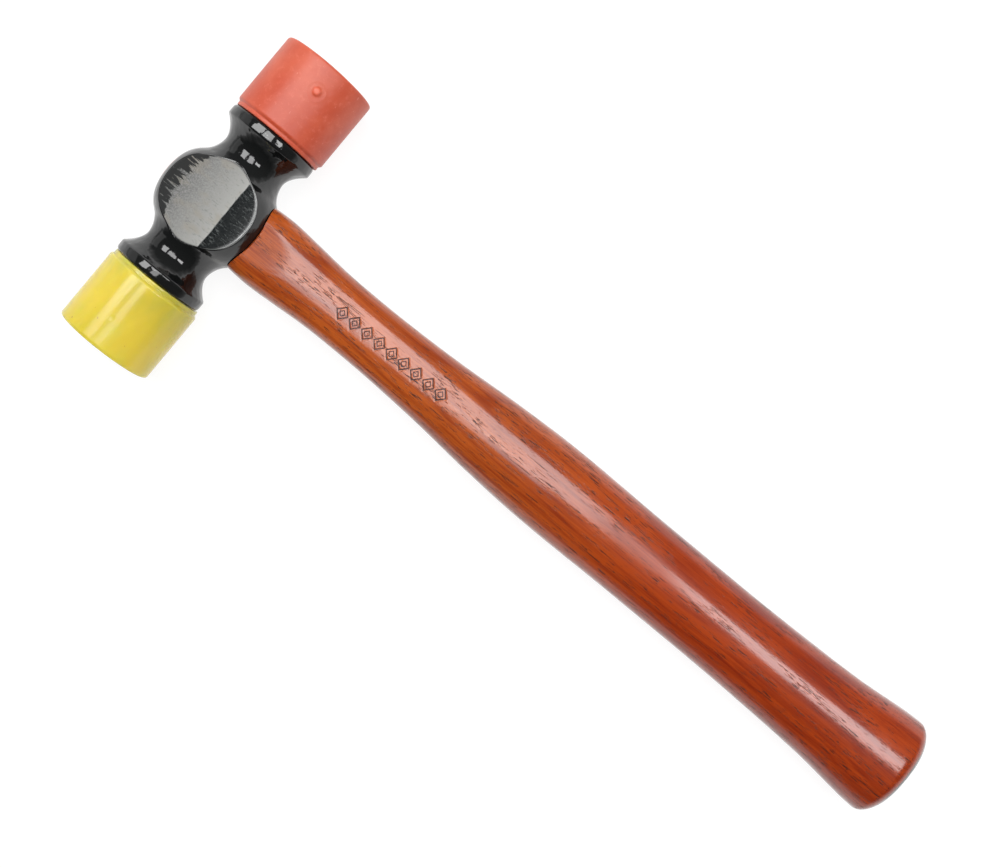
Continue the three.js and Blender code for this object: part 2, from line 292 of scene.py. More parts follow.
def make_enamel():
    """Glossy black enamel with slow runs. On the ground cheeks a grey painted reflection of the light, paler towards
    the handle, is put in the colour. Dull dark streaks break it near the top of the eye, and it ends at a black strip
    towards the handle, where scratches are painted pale as glints and a painted highlight runs along the cheek's edge."""
    material, shader, node, link = finish_named("black_enamel")
    grain, between, math_of, mixed, mark, bumped = shader_tools(node)
    ground, along = mark("ground"), mark("along")
    streaks = grain((0.12, 1.2, 0.3), detail=3, roughness=0.6)
    blotches = grain((0.22, 0.12, 0.2), detail=3, offset=(4, 1, 0))
    fine = grain((1.9, 1.9, 1.9), detail=3, roughness=0.6, offset=(0, 7, 0))
    scratches = grain((0.45, 1.6, 0.5), detail=3, roughness=0.7, offset=(9, 0, 3))
    # Where the painted reflection lies: from the cheek's edge inwards, held back by streaks near the top of the eye
    near_top = between(along, -7.5, -15.0)
    ragged = math_of("MULTIPLY_ADD", streaks, 34.0, -12.0)
    held = math_of("MULTIPLY", ragged, near_top)
    painted_reflection_area = between(math_of("SUBTRACT", ground, math_of("MAXIMUM", held, 0.0)), 0.02, 0.5)
    # Towards the handle the painted reflection ends at this ragged edge, and a black strip lies beyond it
    edge = math_of("MULTIPLY_ADD", math_of("SUBTRACT", blotches, 0.5), 1.2, 7.1)
    strip = between(math_of("SUBTRACT", along, edge), -0.25, 0.25)
    # Scratches in the black strip, painted pale as glints where they catch the light
    scratches_and_glints = math_of("MULTIPLY", between(scratches, 0.50, 0.68), between(blotches, 0.32, 0.60))
    # A painted reflection of the light: its grey rises evenly from black towards the top of the eye to pale towards the
    # handle
    thin = mixed(between(along, -14.0, 7.0, smooth=False), rgb(0.012, 0.012, 0.011), rgb(0.27, 0.27, 0.25))
    painted_reflection = mixed(between(fine, 0.35, 0.7), thin, mixed(0.5, thin, rgb(0.24, 0.24, 0.23)))
    warm = between(grain((0.12, 0.2, 0.2), detail=2, offset=(2, 5, 0)), 0.5, 0.72)
    painted_reflection = mixed(math_of("MULTIPLY", warm, 0.5), painted_reflection, rgb(0.20, 0.175, 0.13))
    painted_reflection = mixed(math_of("MULTIPLY", between(scratches, 0.56, 0.70), 0.6), painted_reflection, rgb(0.07, 0.07, 0.068))
    kept = mixed(scratches_and_glints, rgb(0.004, 0.006, 0.0065), rgb(0.085, 0.093, 0.091))
    # A painted highlight: a pale band just inside the cheek's edge, in the strip towards the handle
    rim = math_of("MULTIPLY", between(ground, 0.02, 0.15), between(ground, 0.6, 0.25))
    lip = math_of("MULTIPLY", rim, between(along, 8.0, 11.0))
    flat = mixed(strip, painted_reflection, mixed(lip, kept, rgb(0.20, 0.21, 0.20)))
    black = mixed(between(fine, 0.35, 0.7), rgb(0.0045, 0.005, 0.005), rgb(0.006, 0.0065, 0.0065))
    link(mixed(painted_reflection_area, black, flat), shader.inputs["Base Color"])
    on_painted_reflection = math_of("MULTIPLY", between(ground, 0.02, 0.3), math_of("SUBTRACT", 1.0, strip))
    dull = math_of("MULTIPLY_ADD", math_of("SUBTRACT", 1.0, painted_reflection_area), 0.36, 0.42)
    rough = math_of("MULTIPLY_ADD", on_painted_reflection, dull, math_of("MULTIPLY_ADD", fine, 0.05, 0.05))
    link(rough, shader.inputs["Roughness"])
    shader.inputs["IOR"].default_value = 1.6
    small_runs = math_of("MULTIPLY", grain((0.45, 0.45, 0.45), detail=1), 0.22)
    runs = math_of("ADD", grain((0.17, 0.17, 0.17), detail=1), small_runs)
    off_cheek = math_of("SUBTRACT", 1.0, between(ground, -0.3, 0.1))
    wavy = bumped(math_of("MULTIPLY", runs, off_cheek), 0.8, 0.45)
    link(bumped(math_of("MULTIPLY", scratches, on_painted_reflection), 0.03, 0.5, wavy), shader.inputs["Normal"])
    return material


def impressed(math_of, between, mark):
    """The stamp's strokes, 1 in a stroke: the same lozenges as stamped() cuts, from the marks down and side."""
    start, end = STAMP
    pitch = (end - start) / LOZENGES
    cell = math_of("FRACT", math_of("DIVIDE", math_of("SUBTRACT", mark("down"), start), pitch))
    along = math_of("ABSOLUTE", math_of("MULTIPLY_ADD", cell, pitch, -pitch / 2))
    size = math_of("ADD", math_of("DIVIDE", along, LOZENGE_LONG * pitch),
                   math_of("DIVIDE", math_of("ABSOLUTE", mark("side")), LOZENGE_HIGH))
    outer = between(math_of("ABSOLUTE", math_of("SUBTRACT", size, 0.92)), 0.16, 0.07)
    inner = between(math_of("ABSOLUTE", math_of("SUBTRACT", size, 0.42)), 0.13, 0.05)
    return math_of("MULTIPLY", math_of("MAXIMUM", outer, inner), mark("stamp_field"))


def make_wood(name, stained=True):
    """Ring-porous hardwood. Growth rings are cylinders about a pith beside the handle, with a slow waver, and short
    pores crowd the early part of each ring. The stain sinks deeper into the pores and is redder towards the butt. Clear
    lacquer covers it, except in the pores and in the stamp's strokes."""
    material, shader, node, link = finish_named(name)
    grain, between, math_of, mixed, mark, bumped = shader_tools(node)
    place = node("TexCoord").outputs["Object"]
    millimetres = node("VectorMath", {0: place, 1: (1000, 1000, 1000)}, operation="MULTIPLY").outputs[0]
    _, y, z = node("SeparateXYZ", {0: millimetres}).outputs
    waver = math_of("MULTIPLY", grain((0.007, 0.02, 0.02), detail=2), 16.0)
    flick = math_of("MULTIPLY", grain((0.03, 0.25, 0.25), detail=2, offset=(3, 1, 1)), 1.6)
    from_pith = node("VectorMath", {0: node("CombineXYZ", {
        1: math_of("ADD", y, 47.0), 2: math_of("ADD", z, 62.0)}).outputs[0]}, operation="LENGTH").outputs["Value"]
    distance = math_of("ADD", math_of("ADD", from_pith, waver), flick)
    ring = math_of("FRACT", math_of("MULTIPLY", distance, 0.36))
    early = math_of("MULTIPLY", between(ring, 0.0, 0.12), between(ring, 0.7, 0.35))
    pores = grain((0.13, 3.8, 3.8), detail=2, roughness=0.45, offset=(0, 2, 2))
    short = grain((0.3, 1.0, 1.0), detail=1, offset=(5, 0, 2))
    crowd = math_of("MULTIPLY_ADD", early, -0.10, 0.66)
    pore = math_of("MULTIPLY", between(math_of("SUBTRACT", pores, crowd), 0.0, 0.025), between(short, 0.40, 0.48))
    fibre = grain((0.04, 1.5, 1.5), detail=4, roughness=0.65, offset=(1, 4, 4))
    cloud = grain((0.016, 0.09, 0.09), detail=3, offset=(6, 6, 0))
    if stained:
        towards_butt = between(mark("down"), 110.0, 225.0)
        light = mixed(towards_butt, rgb(0.44, 0.085, 0.010), rgb(0.38, 0.045, 0.003))
        deep = mixed(towards_butt, rgb(0.24, 0.030, 0.003), rgb(0.21, 0.016, 0.001))
        hole = rgb(0.040, 0.012, 0.008)
    else:
        light, deep, hole = rgb(0.56, 0.37, 0.17), rgb(0.43, 0.25, 0.10), rgb(0.2, 0.10, 0.04)
    late = math_of("MULTIPLY", between(ring, 0.0, 0.25), between(ring, 1.0, 0.55))
    tone = math_of("ADD", math_of("MULTIPLY", late, 0.16), math_of("MULTIPLY_ADD", fibre, 0.85, -0.1))
    clouded = math_of("ADD", tone, math_of("MULTIPLY_ADD", cloud, 0.7, -0.35))
    colour = mixed(between(clouded, 0.12, 0.66), deep, light)
    colour = mixed(math_of("MULTIPLY", pore, 0.9), colour, hole)
    relief = math_of("SUBTRACT", math_of("MULTIPLY", fibre, 0.25), pore)
    if stained:
        stamp = impressed(math_of, between, mark)
        colour = mixed(math_of("MULTIPLY", stamp, 0.92), colour, rgb(0.022, 0.009, 0.006))
        relief = math_of("SUBTRACT", relief, stamp)
        colour = mixed(mark("end_dip"), colour, rgb(0.055, 0.042, 0.033))
        shader.inputs["Specular IOR Level"].default_value = 0.15
        bare = math_of("MAXIMUM", math_of("MULTIPLY", stamp, 0.8), math_of("MULTIPLY", pore, 0.7))
        link(math_of("SUBTRACT", 1.0, bare), shader.inputs["Coat Weight"])
        shader.inputs["Coat Roughness"].default_value = 0.13
        shader.inputs["Coat IOR"].default_value = 1.5
        facet = between(mark("facet"), 0.0, 0.12)
        on_fibre = math_of("MULTIPLY_ADD", fibre, 0.2, 0.28)
        link(math_of("MULTIPLY_ADD", facet, 0.2, on_fibre), shader.inputs["Roughness"])
        link(bumped(relief, 0.12, 0.35), shader.inputs["Normal"])
        link(bumped(math_of("MULTIPLY", relief, 0.5), 0.08, 0.4), shader.inputs["Coat Normal"])
    else:
        link(math_of("MULTIPLY_ADD", fibre, 0.2, 0.55), shader.inputs["Roughness"])
        link(bumped(relief, 0.15, 0.6), shader.inputs["Normal"])
    link(colour, shader.inputs["Base Color"])
    return material


def make_red_plastic():
    """Tough satin plastic, chalky where it was handled, with short scuffs and a painted highlight on the nub."""
    material, shader, node, link = finish_named("red_plastic")
    grain, between, math_of, mixed, mark, bumped = shader_tools(node)
    cloud = grain((0.06, 0.06, 0.06), detail=4, roughness=0.6)
    chalk = grain((0.5, 0.5, 0.5), detail=5, roughness=0.7, offset=(1, 2, 3))
    scuff = grain((1.1, 0.3, 0.6), detail=4, roughness=0.7, offset=(7, 3, 1))
    colour = mixed(between(cloud, 0.35, 0.68), rgb(0.52, 0.072, 0.030), rgb(0.60, 0.108, 0.052))
    colour = mixed(math_of("MULTIPLY", between(chalk, 0.5, 0.8), 0.5), colour, rgb(0.74, 0.20, 0.13))
    colour = mixed(math_of("MULTIPLY", between(scuff, 0.66, 0.76), 0.6), colour, rgb(0.82, 0.34, 0.25))
    # A painted highlight on the nub, paler than the plastic round it
    colour = mixed(math_of("MULTIPLY", mark("nub"), 0.55), colour, rgb(0.88, 0.20, 0.12))
    link(colour, shader.inputs["Base Color"])
    link(math_of("MULTIPLY_ADD", chalk, 0.25, 0.30), shader.inputs["Roughness"])
    shader.inputs["Subsurface Weight"].default_value = 0.12
    shader.inputs["Subsurface Radius"].default_value = (1.0, 0.3, 0.15)
    shader.inputs["Subsurface Scale"].default_value = 0.002
    skin = bumped(chalk, 0.05, 0.4)
    link(bumped(scuff, 0.06, 0.35, skin), shader.inputs["Normal"])
    return material


def make_yellow_plastic():
    """Amber cellulose plastic, glossy and slightly see-through and paler at its rims, with a greener painted shade of
    the stud inside near its base.
    """
    material, shader, node, link = finish_named("yellow_plastic")
    grain, between, math_of, mixed, mark, bumped = shader_tools(node)
    swirl = grain((0.035, 0.02, 0.035), detail=3, distortion=1.2)
    haze = grain((0.12, 0.05, 0.12), detail=3, offset=(3, 3, 0))
    speck = grain((1.0, 1.0, 1.0), detail=2, offset=(0, 5, 5))
    colour = mixed(between(swirl, 0.3, 0.7), rgb(0.64, 0.51, 0.045), rgb(0.76, 0.59, 0.070))
    colour = mixed(math_of("MULTIPLY", between(haze, 0.45, 0.75), 0.5), colour, rgb(0.60, 0.58, 0.10))
    # Painted shade: the stud inside, seen through the plastic, darkens and greens it towards the base
    painted_stud_shade = math_of("MULTIPLY", between(mark("from_base"), 17.0, 0.0), between(haze, 0.25, 0.6))
    colour = mixed(math_of("MULTIPLY", painted_stud_shade, 0.6), colour, rgb(0.45, 0.44, 0.075))
    colour = mixed(between(speck, 0.74, 0.79), colour, rgb(0.42, 0.2, 0.05))
    link(colour, shader.inputs["Base Color"])
    link(math_of("MULTIPLY_ADD", haze, 0.12, 0.13), shader.inputs["Roughness"])
    shader.inputs["Subsurface Weight"].default_value = 0.75
    shader.inputs["Subsurface Radius"].default_value = (1.0, 0.85, 0.3)
    shader.inputs["Subsurface Scale"].default_value = 0.008
    link(bumped(grain((0.16, 0.1, 0.16), detail=2), 0.2, 0.25), shader.inputs["Normal"])
    return material


def make_steel(name, colour, rough, along=(1.5, 0.2, 1.5)):
    """Machined or rolled steel with fine lines one way and a thin stain of oil."""
    material, shader, node, link = finish_named(name)
    grain, between, math_of, mixed, _, bumped = shader_tools(node)
    lines = grain(tuple(2 * s for s in along), detail=3, roughness=0.6)
    stain = grain((0.25, 0.25, 0.25), detail=3, offset=(4, 4, 4))
    dark = tuple(c * 0.55 for c in colour[:3]) + (1.0,)
    link(mixed(math_of("MULTIPLY", between(stain, 0.45, 0.7), 0.7), colour, dark), shader.inputs["Base Color"])
    shader.inputs["Metallic"].default_value = 1.0
    link(math_of("MULTIPLY_ADD", lines, 0.22, rough - 0.1), shader.inputs["Roughness"])
    link(bumped(lines, 0.02, 0.5), shader.inputs["Normal"])
    return material


# ---- Head ----

def head_outline():
    """Half the head's outline as radius and place: Bezier curves for bulge, neck and flare, then the flange."""
    shoulder = NECK + (BULGE - NECK) * SHOULDER_SHARE
    lean = np.array([-math.sin(SHOULDER_SLOPE), math.cos(SHOULDER_SLOPE)])
    turn = np.array([shoulder, SHOULDER_PLACE])
    flare = HEAD_HALF - FLANGE_THICK
    foot = np.array([FLANGE - FLANGE_ROUNDING / 2, flare])
    neck_pull = 0.34 * (NECK_PLACE - SHOULDER_PLACE)
    curves = [
        ([(BULGE, 0), (BULGE, 0.55 * SHOULDER_PLACE), turn - 0.27 * SHOULDER_PLACE * lean, turn], 34),
        ([turn, turn + neck_pull * lean, (NECK, NECK_PLACE - neck_pull), (NECK, NECK_PLACE)], 18),
        ([(NECK, NECK_PLACE), (NECK, NECK_PLACE + 0.34 * (flare - NECK_PLACE)),
          foot - 0.45 * (flare - NECK_PLACE) * lean * np.array([-1, 1]), foot], 24),
        ([foot, (FLANGE, flare + FLANGE_ROUNDING / 2), (FLANGE, flare + FLANGE_ROUNDING)], 5),
        ([(FLANGE, flare + FLANGE_ROUNDING), (FLANGE, HEAD_HALF - 2 * FLANGE_ROUNDING)], 3),
        ([(FLANGE, HEAD_HALF - 2 * FLANGE_ROUNDING), (FLANGE, HEAD_HALF), (FLANGE - FLANGE_ROUNDING, HEAD_HALF)], 8),
    ]
    parts = [bezier(points, np.linspace(0, 1, steps + 1))[:-1] for points, steps in curves]
    return np.concatenate(parts + [[(FLANGE - FLANGE_ROUNDING, HEAD_HALF)]])


def head_radius(place):
    """The outline's radius at a place along the head, either way from the middle."""
    outline = head_outline()
    return np.interp(abs(place), outline[:, 1], outline[:, 0])


def head_columns(radius, place):
    """The angles of each row's columns. One column in each quarter runs along the cheek's edge, where the sine is
    cheek over radius, and past the flat's point it eases back to the middle of the quarter."""
    point = np.interp(-CHEEK, -head_outline()[:, 0], head_outline()[:, 1], right=20.0)
    edge = np.minimum(np.arcsin(np.clip(CHEEK / radius, 0, 1)), math.radians(84))
    edge = edge + (math.radians(52) - edge) * ease((abs(place) - point) / 6)
    round_share = np.concatenate([np.linspace(0, 0.9, 20), [0.95, 0.98, 1.0]])
    flat_share = np.concatenate([[0.02, 0.05], np.linspace(0.1, 1, 13)])
    round_part = edge[:, None] * round_share
    flat_part = np.arccos(np.cos(edge)[:, None] * (1 - flat_share))
    quarter = np.concatenate([round_part, flat_part], axis=1)
    back = np.pi - quarter[:, ::-1]
    quarters = [quarter[:, :-1], back[:, :-1], (np.pi + quarter)[:, :-1], 2 * np.pi - quarter[:, ::-1]]
    angle = np.concatenate(quarters, axis=1)
    return angle, round_share, quarter.shape[1] - 1


def build_head():
    """The forged head. Its skin is the outline turned about y, with z held to the cheeks by a rounded least. Round
    each mouth of the eye a ring of patches runs from the skin to the oval, the eye's wall is an oval hourglass, and
    each end has a seat, a chamfer and a threaded socket."""
    skin = Skin()
    half = head_outline()
    radius = np.concatenate([half[::-1, 0], half[1:, 0]])
    place = np.concatenate([-half[::-1, 1], half[1:, 1]])
    angle, round_share, quarter = head_columns(radius, place)
    x, z = radius[:, None] * np.cos(angle), radius[:, None] * np.sin(angle)
    cheek = CHEEK - CHEEK_FALL * np.clip(-x - CHEEK_FALL_FROM, 0, None) ** 2
    ground = np.where(abs(place)[:, None] < NECK_PLACE, abs(z) - cheek, NOWHERE)
    z = np.where(ground > -3, np.sign(z) * rounded_min(abs(z), cheek, CHEEK_ROUNDING), z)
    grid = np.stack([x, np.broadcast_to(place[:, None], x.shape), z], axis=-1)
    grid[:, -1] = grid[:, 0]

    # The cells that the eye takes
    reach = int(np.searchsorted(round_share, 0.80))
    rows = np.flatnonzero(abs(place) <= MOUTH_PATCH)
    first, last = rows[0], rows[-1]
    keep = np.ones((len(place) - 1, 4 * quarter), bool)
    for middle in (0, 2 * quarter):
        taken = np.arange(middle - reach, middle + reach) % (4 * quarter)
        keep[np.ix_(np.arange(first, last), taken)] = False
    skin.add(grid, keep, ground=ground, along=x)

    mouths = []
    for side in (1, -1):
        middle = 0 if side > 0 else 2 * quarter
        column = lambda j: (middle + side * j) % (4 * quarter)
        up_to, down_to = np.arange(-reach, reach), np.arange(reach, -reach, -1)
        loop = np.concatenate([
            [grid[first, column(j)] for j in up_to], grid[first:last, column(reach)],
            [grid[last, column(j)] for j in down_to], grid[last:first:-1, column(-reach)],
            [grid[first, column(-reach)]],
        ])
        turn = np.arctan2(loop[:, 2] / abs(loop[:, 2]).max(), loop[:, 1] / abs(loop[:, 1]).max())

        def mouth(grown):
            far = np.full(len(loop), BULGE)
            for _ in range(6):
                flare = EYE_FLARE * far / (BULGE + 2) + grown
                y, z = oval(turn, EYE_HALF_WIDTH + flare, EYE_HALF_HEIGHT + flare, EYE_SQUARENESS)
                far = np.sqrt(head_radius(y) ** 2 - z ** 2)
            return y, z, far

        y, z, _ = mouth(MOUTH_ROUNDING)
        rings = [loop]
        for share in np.linspace(1, 0, 10)[1:]:
            ring_y, ring_z = y + (loop[:, 1] - y) * share, z + (loop[:, 2] - z) * share
            rings.append(np.stack([side * np.sqrt(head_radius(ring_y) ** 2 - ring_z ** 2), ring_y, ring_z], axis=-1))
        for bend in (np.pi / 6, np.pi / 3, np.pi / 2):
            y, z, far = mouth(MOUTH_ROUNDING * (1 - math.sin(bend)))
            rings.append(np.stack([side * (far - MOUTH_ROUNDING * (1 - math.cos(bend))), y, z], axis=-1))
        rings = np.stack(rings)
        skin.add(rings, ground=NOWHERE, along=rings[..., 0])
        mouths.append((rings[-1], turn))

    (front, turn), (back, _) = mouths
    share = np.linspace(0, 1, 17)[:, None]
    wall_x = front[:, 0] * (1 - share) + back[:, 0] * share
    flare = EYE_FLARE * abs(wall_x) / (BULGE + 2)
    wall_y, wall_z = oval(turn, EYE_HALF_WIDTH + flare, EYE_HALF_HEIGHT + flare, EYE_SQUARENESS)
    wall = np.stack([wall_x, wall_y, wall_z], axis=-1)
    wall[0], wall[-1] = front, back
    skin.add(wall, ground=NOWHERE, along=wall_x)

    for end in (1, -1):
        rim = grid[-1 if end > 0 else 0]
        around = angle[-1 if end > 0 else 0]
        own = around if end > 0 else np.pi - around
        bore = STUD + 0.3
        chamfer = 0.6
        lip = bore + chamfer
        opening = np.stack([SOCKET_OFFSET + lip * np.cos(around), rim[:, 1], lip * np.sin(around)], axis=-1)
        share = np.linspace(0, 1, 9)[:, None, None]
        seat = rim * (1 - share) + opening * share
        step = PITCH / 10
        depth = np.concatenate([[chamfer], np.arange(chamfer + step, SOCKET_DEPTH, step), [SOCKET_DEPTH]])
        in_place = (HEAD_HALF - depth)[:, None]
        fade = ease((depth[:, None] - chamfer) / 1.2)
        r = bore - THREAD_DEPTH * fade + fade * thread_height(in_place, own, THREAD_DEPTH)
        bore_grid = np.stack([SOCKET_OFFSET + r * np.cos(around), np.broadcast_to(end * in_place, r.shape),
                              r * np.sin(around)], axis=-1)
        pole = np.broadcast_to([SOCKET_OFFSET, end * (HEAD_HALF - SOCKET_DEPTH), 0.0], rim.shape)
        whole = np.concatenate([seat, bore_grid, pole[None]])
        whole[:, -1] = whole[:, 0]
        skin.add(whole, ground=NOWHERE, along=whole[..., 0])
    return put_in_mesh("forged_head", skin, sharp=50)


# ---- Handle ----

def handle_shape(x):
    """Half-width, half-thickness and squareness at x: smooth curves through the handle's stations."""
    shoulder_width = EYE_HALF_WIDTH + EYE_FLARE + 1.9
    shoulder_thick = EYE_HALF_HEIGHT + EYE_FLARE + 0.8
    shoulder = 1.14 * BULGE

    def stations(s, w, g, m, e, f):
        """The half sizes at the stations, from those at the shoulder, waist, grip, middle, grip's end and flare."""
        return [s - 0.9 if s > 12 else s - 0.2, s, s + (w - s) * 0.36, s + (w - s) * 0.87, w,
                w + (g - w) * 0.26, w + (g - w) * 0.8, g, m, e, e + (f - e) * 0.37, f, f]

    places = [0.5 * BULGE, shoulder, shoulder + (WAIST - shoulder) * 0.28, shoulder + (WAIST - shoulder) * 0.6, WAIST,
              WAIST + (GRIP - WAIST) * 0.42, WAIST + (GRIP - WAIST) * 0.8, GRIP, (GRIP + GRIP_END) / 2, GRIP_END,
              GRIP_END + (BUTT_START - GRIP_END) * 0.57, BUTT_START, BUTT_START + 3]
    width = through(x, places, stations(shoulder_width + 0.3, 12.3, 16.3, 16.25, 16.5, BUTT_HALF_WIDTH))
    thick = through(x, places, stations(shoulder_thick, 9.2, 12.7, 12.6, 12.8, BUTT_HALF_THICK))
    change = ease((x - WAIST) / (GRIP - WAIST))
    return width, thick, NECK_SQUARENESS + (BUTT_SQUARENESS - NECK_SQUARENESS) * change


def stamped(x, y):
    """An impressed row of lozenges, 1 in a stroke, with a smaller lozenge in each. Size is the share of a lozenge's
    length plus the share of its height, and a stroke is where size is near one of two numbers."""
    start, end = STAMP
    pitch = (end - start) / LOZENGES
    along = abs(np.mod(x - start, pitch) - pitch / 2)
    size = along / (LOZENGE_LONG * pitch) + abs(y) / LOZENGE_HIGH
    outer = 1 - ease((abs(size - 0.92) - 0.05) / 0.16)
    inner = 1 - ease((abs(size - 0.42) - 0.03) / 0.14)
    return np.maximum(outer, inner) * ((x > start) & (x < end))


def build_handle():
    """The handle. Rings of superellipses run down it. The first ring lies where the swell meets the bulge, one gap
    away: x is the root of (bulge radius plus gap) squared less z squared. A face that follows the bulge leads in to
    the tenon, an oval hourglass that ends just under the top of the eye. A flat plane takes the top off the neck by a
    rounded least, the stamp is cut in, and the butt is a rounding and a shallow dome."""
    skin = Skin()
    columns = 208
    turn = np.linspace(0, 2 * np.pi, columns + 1)

    start = np.full(columns + 1, 20.0)
    for _ in range(12):
        width, thick, square = handle_shape(start)
        y, z = oval(turn, width, thick, square)
        start = np.sqrt((head_radius(y) + SHOULDER_GAP) ** 2 - z ** 2)
    top = oval(turn, *handle_shape(start))

    first, even, flare_from = 24, 36, HANDLE_REACH - 60
    rows = np.concatenate([
        np.linspace(0, 1, 18)[:-1] * (even - first) + first, np.arange(even, STAMP[0] - 1, 1.2),
        np.arange(STAMP[0] - 1, STAMP[1] + 1, 0.3), np.arange(STAMP[1] + 1, flare_from, 1.6),
        np.linspace(flare_from, BUTT_START, 46),
    ])
    held = np.maximum(0, 1 - (rows - first) / 14)[:, None] ** 2
    x = rows[:, None] + (start - first)[None, :] * held
    x[0] = start
    width, thick, square = handle_shape(x)
    y, z = oval(turn, width, thick, square)
    from_head, height, rise = FACET
    plane = height + rise * (x - from_head)
    facet = np.where(x < 60, z - plane, NOWHERE)
    z = np.where(facet > -2, rounded_min(z, plane, 0.1), z)
    field = np.where((z > 0) & (x > STAMP[0]) & (x < STAMP[1]) & (abs(y) < LOZENGE_HIGH + 0.6), 1.0, 0.0)
    z = z - STAMP_DEPTH * field * stamped(x, y)
    body = np.stack([x, y, z], axis=-1)

    rim = BUTT_HALF_WIDTH * DOME_RIM
    along = HANDLE_REACH - 2.2
    bend = bezier([(BUTT_HALF_WIDTH, BUTT_START), (0.995 * BUTT_HALF_WIDTH, along - 2.2), (rim, along)],
                  np.linspace(0, 1, 15))[1:]
    dome = bezier([(rim, along), (rim * 0.5, HANDLE_REACH), (0.0, HANDLE_REACH)], np.linspace(0, 1, 17))[1:]
    butt_profile = np.concatenate([bend, dome])
    r, butt_x = butt_profile[:, :1], butt_profile[:, 1:]
    butt_y, butt_z = oval(turn, r, r * BUTT_HALF_THICK / BUTT_HALF_WIDTH, BUTT_SQUARENESS)
    butt = np.stack([np.broadcast_to(butt_x, butt_y.shape), butt_y, butt_z], axis=-1)
    body = np.concatenate([body, butt])
    field = np.concatenate([field, np.zeros(butt_y.shape)])
    facet = np.concatenate([facet, np.full(butt_y.shape, NOWHERE)])
    dip = ease((body[..., 0] - (HANDLE_REACH - END_DIP)) / 0.35)
    skin.add(body, stamp_field=field, down=body[..., 0], side=body[..., 1], facet=facet, end_dip=dip)

    # The shoulder's face on the bulge, then the tenon
    root_x = start.copy()
    for _ in range(8):
        flare = EYE_FLARE * root_x / (BULGE + 2) - FIT_GAP
        root_y, root_z = oval(turn, EYE_HALF_WIDTH + flare, EYE_HALF_HEIGHT + flare, EYE_SQUARENESS)
        root_x = np.sqrt((head_radius(root_y) + SHOULDER_GAP) ** 2 - root_z ** 2)
    share = np.linspace(0, 1, 7)[:, None]
    face_y, face_z = top[0] * (1 - share) + root_y * share, top[1] * (1 - share) + root_z * share
    face = np.stack([np.sqrt((head_radius(face_y) + SHOULDER_GAP) ** 2 - face_z ** 2), face_y, face_z], axis=-1)
    face[0], face[-1] = body[0], np.stack([root_x, root_y, root_z], axis=-1)
    skin.add(face)

    end_x = np.full(columns + 1, -20.0)
    for _ in range(8):
        flare = EYE_FLARE * -end_x / (BULGE + 2) - FIT_GAP
        end_y, end_z = oval(turn, EYE_HALF_WIDTH + flare, EYE_HALF_HEIGHT + flare, EYE_SQUARENESS)
        end_x = -np.sqrt((head_radius(end_y) - TENON_SUNK) ** 2 - end_z ** 2)
    share = np.linspace(0, 1, 25)[:, None]
    tenon_x = root_x * (1 - share) + end_x * share
    flare = EYE_FLARE * abs(tenon_x) / (BULGE + 2) - FIT_GAP
    tenon_y, tenon_z = oval(turn, EYE_HALF_WIDTH + flare, EYE_HALF_HEIGHT + flare, EYE_SQUARENESS)
    tenon = np.stack([tenon_x, tenon_y, tenon_z], axis=-1)
    tenon[0] = face[-1]
    tenon[-1] = np.stack([end_x, end_y, end_z], axis=-1)
    skin.add(tenon)
    share = np.linspace(1, 0, 13)[:, None]
    cap_y, cap_z = end_y * share, end_z * share
    cap = np.stack([-np.sqrt((head_radius(cap_y) - TENON_SUNK) ** 2 - cap_z ** 2), cap_y, cap_z], axis=-1)
    cap[0] = tenon[-1]
    cap[-1] = [TENON_SUNK - BULGE, 0.0, 0.0]
    skin.add(cap)
    return kerfed(put_in_mesh("hickory_handle", skin, sharp=50))


def wedge_cutter(name, thick, thin, depth, half_width, turned, place=0.0):
    """A six-sided wedge, one gap larger all round than the wedge it makes room for: thickness falls evenly from thick
    to thin over depth, and half_width is the same throughout. A turned one lies along the eye, not across it."""
    top, above = -BULGE, 2.0
    bottom = top + depth + FIT_GAP
    slope = (thick - thin) / 2 / depth
    x = np.array([top - above, bottom])
    t = np.array([thick / 2 + slope * above + FIT_GAP, thin / 2 + FIT_GAP])
    w = half_width + FIT_GAP
    ends = []
    for px, pt in zip(x, t):
        ring = [(-w, -pt), (w, -pt), (w, pt), (-w, pt)] if turned else [(-pt, -w), (pt, -w), (pt, w), (-pt, w)]
        ends.append([(px, place + a, b) for a, b in ring])
    ends = np.array(ends)
    closed = np.concatenate([ends, ends[:, :1]], axis=1)
    skin = Skin().add(closed)
    for end in ends:
        skin.add(end[[0, 1, 3, 2]].reshape(2, 2, 3))
    return put_in_mesh(name, skin, sharp=30)


def kerfed(handle):
    """Cuts the kerfs for the three wedges out of the tenon."""
    cutters = [wedge_cutter("kerf_wood", *WOOD_WEDGE, True)] + [
        wedge_cutter(f"kerf_steel_{i}", *STEEL_WEDGE, False, place) for i, place in enumerate(STEEL_WEDGE_PLACES)]
    for cutter in cutters:
        cut = handle.modifiers.new(cutter.name, "BOOLEAN")
        cut.operation, cut.object, cut.solver = "DIFFERENCE", cutter, "EXACT"
    bpy.context.view_layer.update()
    shaped = bpy.data.meshes.new_from_object(handle.evaluated_get(bpy.context.evaluated_depsgraph_get()))
    handle.modifiers.clear()
    handle.data = shaped
    shaped.name = "hickory_handle"
    for cutter in cutters:
        bpy.data.objects.remove(cutter)
    shaped.polygons.foreach_set("use_smooth", np.ones(len(shaped.polygons), bool))
    shaped.set_sharp_from_angle(angle=math.radians(50))
    return handle


# ---- Tips and studs ----

def at_end(points, end):
    """From the red end's own place about the tips' axis to either end: the yellow one is turned half way round."""
    turned = points * np.array([end, end, 1.0])
    return turned + np.array([SOCKET_OFFSET, 0.0, 0.0])


